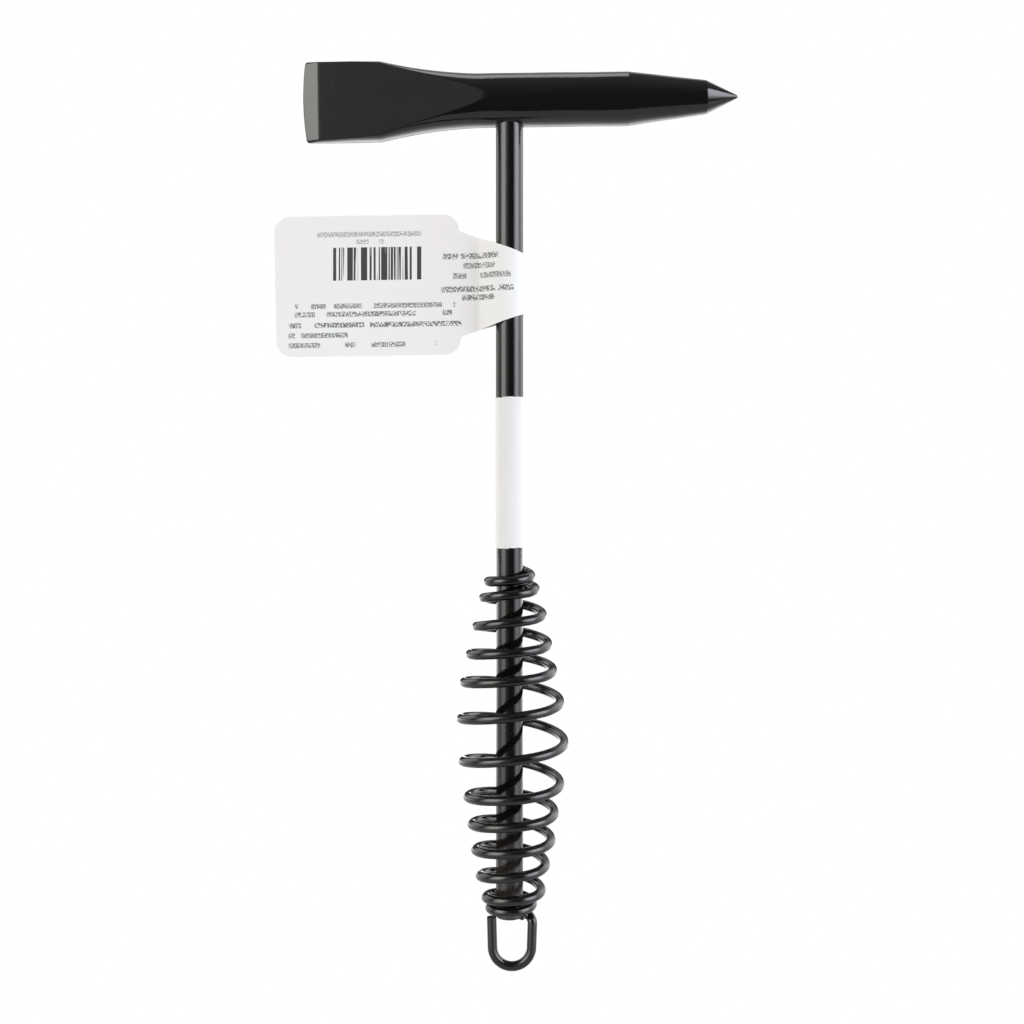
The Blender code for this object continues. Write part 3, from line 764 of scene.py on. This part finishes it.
def weld_lumps(name, beads, voxel, finish, node):
    """A weld bead built from overlapping drops that have run together."""
    shape = bmesh.new()
    for centre, radii in beads:
        place = Matrix.Translation(Vector(centre) * MM) @ Matrix.Diagonal((*(Vector(radii) * MM), 1.0))
        bmesh.ops.create_icosphere(shape, subdivisions=4, radius=1.0, matrix=place)
    for vert in shape.verts:
        vert.co += 0.12 * MM * noise.noise_vector(vert.co * 1400)
    lumps = shade_and_link(name + "_drops", shape)
    remesh = lumps.modifiers.new("run_together", "REMESH")
    remesh.mode = "VOXEL"
    remesh.voxel_size = voxel
    bpy.context.view_layer.update()
    solid = lumps.evaluated_get(bpy.context.evaluated_depsgraph_get())
    shape = bmesh.new()
    shape.from_mesh(solid.to_mesh())
    bpy.data.objects.remove(lumps, do_unlink=True)
    for _ in range(3):
        bmesh.ops.smooth_vert(shape, verts=shape.verts, factor=0.5, use_axis_x=True, use_axis_y=True,
                              use_axis_z=True)
    bead = shade_and_link(name, shape, 180.0)
    finish_piece(bead, finish, "weld_enamel", node)


# Centre and radii of each drop, in mm
TOP_WELD_DROPS = (
    ((3.2, 4.4, 55.6), (1.5, 1.3, 1.1)),
    ((4.4, 3.2, 54.9), (1.2, 1.5, 1.0)),
    ((4.9, 1.8, 54.2), (0.7, 0.9, 0.8)),
    ((5.2, 1.2, 50.9), (0.5, 0.6, 0.7)),
)
LOW_WELD_DROPS = (
    ((4.4, 2.2, -56.4), (1.5, 1.7, 1.3)),
    ((5.0, 0.6, -56.4), (1.2, 1.4, 1.2)),
    ((4.0, -0.6, -56.8), (1.1, 1.2, 0.8)),
    ((3.1, 3.4, -56.7), (1.2, 1.1, 0.8)),
)


# Labels ------------------------------------------------------------------------------------

BAND_THICKNESS = 0.16 * MM
BAND_SEAM = math.radians(-118)
BAND_OVERLAP = math.radians(25)
BAND_SKEW = 0.35 * MM


def make_band(finish):
    """Paper wound once round the rod, its loose end lapped over the start."""
    shape = bmesh.new()
    rows = 24
    bmesh.ops.create_grid(shape, x_segments=120, y_segments=rows, size=0.5)
    low, high = BAND_BOX[0].z, BAND_BOX[1].z
    turned = 2 * math.pi + BAND_OVERLAP
    for vert in shape.verts:
        along, up = vert.co.x + 0.5, vert.co.y + 0.5
        angle = BAND_SEAM + BAND_OVERLAP - turned * along
        radius = ROD_RADIUS + 0.05 * MM + BAND_THICKNESS * (0.5 + 1.1 * along)
        wave = 0.12 * MM * noise.noise(Vector((2 * math.cos(angle), 2 * math.sin(angle), up * 1.5)))
        z = low + BAND_SKEW * along + (high - low - BAND_SKEW) * up + wave
        vert.co = (radius * math.cos(angle), radius * math.sin(angle), z)
    thicken(shape, BAND_THICKNESS)
    band = shade_and_link("band_paper", shape, 50.0)
    finish_piece(band, finish, "band_paper", "band_label")


TAG_LEAN = math.radians(1.0)
TAG_LEFT = -75.3 * MM
TAG_RIGHT = -16.0 * MM
TAG_LOW = 124.6 * MM
TAG_HIGH = 169.7 * MM
TAG_MIDDLE = (TAG_LOW + TAG_HIGH) / 2
TAG_CORNER = 5.2 * MM
NECK_LOW_AT_PANEL = 130.2 * MM
NECK_HIGH_AT_PANEL = 164.2 * MM
NECK_LOW_AT_ROD = 137.0 * MM
NECK_HIGH_AT_ROD = 156.6 * MM
RAMP_X = -10.2 * MM
CREASE = (-4.3 * MM, 4.1 * MM)
CARD = 0.2 * MM


def card_wave(x, z):
    """Gentle bow and ripple of the card, from handling, none of it at the fold."""
    free = clamp01((RAMP_X - x) / (40 * MM))
    ripple = noise.noise(Vector((x / (26 * MM), z / (22 * MM), 0.3)))
    return free * (0.2 * MM * ripple - 0.4 * MM * free * free)


def corner_inset(distance, radius):
    """How far a round corner cuts into a panel's edge at a distance from its end."""
    if distance >= radius:
        return 0.0
    return radius - math.sqrt(max(radius ** 2 - (radius - distance) ** 2, 0.0))


def card_edges(x):
    """Lowest and highest point of the card where its length reaches x."""
    if x > TAG_RIGHT:
        part = clamp01((x - TAG_RIGHT) / (ROD_RADIUS - TAG_RIGHT))
        return (NECK_LOW_AT_PANEL + (NECK_LOW_AT_ROD - NECK_LOW_AT_PANEL) * part,
                NECK_HIGH_AT_PANEL + (NECK_HIGH_AT_ROD - NECK_HIGH_AT_PANEL) * part)
    inset = corner_inset(x - TAG_LEFT, TAG_CORNER)
    right = corner_inset(TAG_RIGHT - x, TAG_CORNER)
    low = min(TAG_LOW + max(inset, right), NECK_LOW_AT_PANEL if right else TAG_MIDDLE)
    high = max(TAG_HIGH - max(inset, right), NECK_HIGH_AT_PANEL if right else TAG_MIDDLE)
    return low, high


def strip_path():
    """Stations along half the strip, from the panel's free end to the far side of the rod."""
    radius = ROD_RADIUS + 0.06 * MM + CARD / 2
    flat = CARD * 0.55
    crease = Vector(CREASE)
    stations = []
    ends = (TAG_LEFT, TAG_LEFT + TAG_CORNER, TAG_RIGHT - TAG_CORNER, TAG_RIGHT, RAMP_X)
    steps = (14, 34, 14, 8)
    for start, end, count in zip(ends, ends[1:], steps):
        for i in range(count):
            part = i / count
            if end == ends[1]:
                part = 1 - math.cos(part * math.pi / 2)
            if start == ends[2]:
                part = math.sin(part * math.pi / 2)
            stations.append((start + (end - start) * part, flat))
    # The strip curves up off the other half to the crease, then relaxes on to the rod
    for i in range(12):
        u = i / 12
        stations.append((RAMP_X + (crease.x - RAMP_X) * u, flat + (crease.y - flat) * u ** 1.35))
    from_left = math.atan2(crease.y, -crease.x)
    for i in range(33):
        u = i / 32
        angle = math.pi - from_left - (math.pi - from_left) * u
        away = crease.length - radius
        reach = radius + away * max(1 - 2.2 * u, 0.0) ** 2
        stations.append((reach * math.cos(angle), reach * math.sin(angle)))
    return stations


def make_tag(finish):
    """Die-cut card folded round the rod, its two panels stuck back to back."""
    half = strip_path()
    strip = [(x, -depth) for x, depth in half] + [(x, depth) for x, depth in reversed(half[:-1])]
    shape = bmesh.new()
    rows = 20
    bmesh.ops.create_grid(shape, x_segments=len(strip) - 1, y_segments=rows, size=0.5)
    tilt = Matrix.Translation((0, 0, TAG_MIDDLE)) @ Matrix.Rotation(-TAG_LEAN, 4, "Y")
    for vert in shape.verts:
        station = round((vert.co.x + 0.5) * (len(strip) - 1))
        up = vert.co.y + 0.5
        x, y = strip[station]
        low, high = card_edges(x)
        z = low + (high - low) * up
        vert.co = tilt @ Vector((x, y + card_wave(x, z), z - TAG_MIDDLE))
    thicken(shape, CARD)
    tag = shade_and_link("tag_card", shape, 60.0)
    finish_piece(tag, finish, "tag_card", "tag")


STICKER_THICKNESS = 0.05 * MM
STICKER_HALF_HEIGHT = 10.7 * MM
STICKER_LEFT = -71.15 * MM
STICKER_RIGHT = -24.45 * MM
STICKER_MIDDLE = 155.7 * MM
STICKER_CORNER = 1.0 * MM


def make_sticker(finish):
    """Thin paper sticker that follows the card's bow."""
    shape = bmesh.new()
    columns = 60
    bmesh.ops.create_grid(shape, x_segments=columns, y_segments=14, size=0.5)
    tilt = Matrix.Translation((0, 0, TAG_MIDDLE)) @ Matrix.Rotation(-TAG_LEAN, 4, "Y")
    for vert in shape.verts:
        along = 0.5 - 0.5 * math.cos((vert.co.x + 0.5) * math.pi)
        x = STICKER_LEFT + (STICKER_RIGHT - STICKER_LEFT) * along
        nearest = min(x - STICKER_LEFT, STICKER_RIGHT - x)
        reach = STICKER_HALF_HEIGHT - corner_inset(nearest, STICKER_CORNER)
        z = STICKER_MIDDLE + 2 * vert.co.y * reach
        y = card_wave(x, z) - CARD * 1.05 - STICKER_THICKNESS / 2 - 0.01 * MM
        vert.co = tilt @ Vector((x, y, z - TAG_MIDDLE))
    thicken(shape, STICKER_THICKNESS)
    sticker = shade_and_link("sticker_paper_face", shape, 60.0)
    finish_piece(sticker, finish, "sticker_paper", "tag_sticker")


# Build -------------------------------------------------------------------------------------

def main():
    make_camera()
    make_studio()
    make_floor()
    head_black = gloss_black_enamel("gloss_black_enamel_on_forging")
    rod_black = gloss_black_enamel("gloss_black_enamel_on_rod", thin_below=-20 * MM, dust=0.2)
    wire_black = gloss_black_enamel("gloss_black_enamel_on_wire", roughness=0.08)
    weld_black = gloss_black_enamel("black_enamel_on_weld", peel=2.5, roughness=0.16)
    seam_black = gloss_black_enamel("dry_black_enamel_in_seam", peel=3.0, roughness=0.55)
    make_head(head_black)
    make_head_weld(seam_black)
    make_rod(rod_black)
    make_spring(wire_black)
    weld_lumps("spring_top_weld_bead", TOP_WELD_DROPS, 0.12 * MM, weld_black, "spring_top_weld")
    weld_lumps("spring_low_weld_bead", LOW_WELD_DROPS, 0.12 * MM, weld_black, "spring_low_weld")
    make_band(coated_paper("white_band_paper", "#E5E6E4", "#E9E8E8", 0.55))
    make_tag(coated_paper("white_tag_card", "#F0F2F2", "#F3F0F0", 0.5, CARD_ROWS))
    make_sticker(coated_paper("white_sticker_paper", "#F0F1F1", "#F2F2F3", 0.42, STICKER_ROWS))


main()
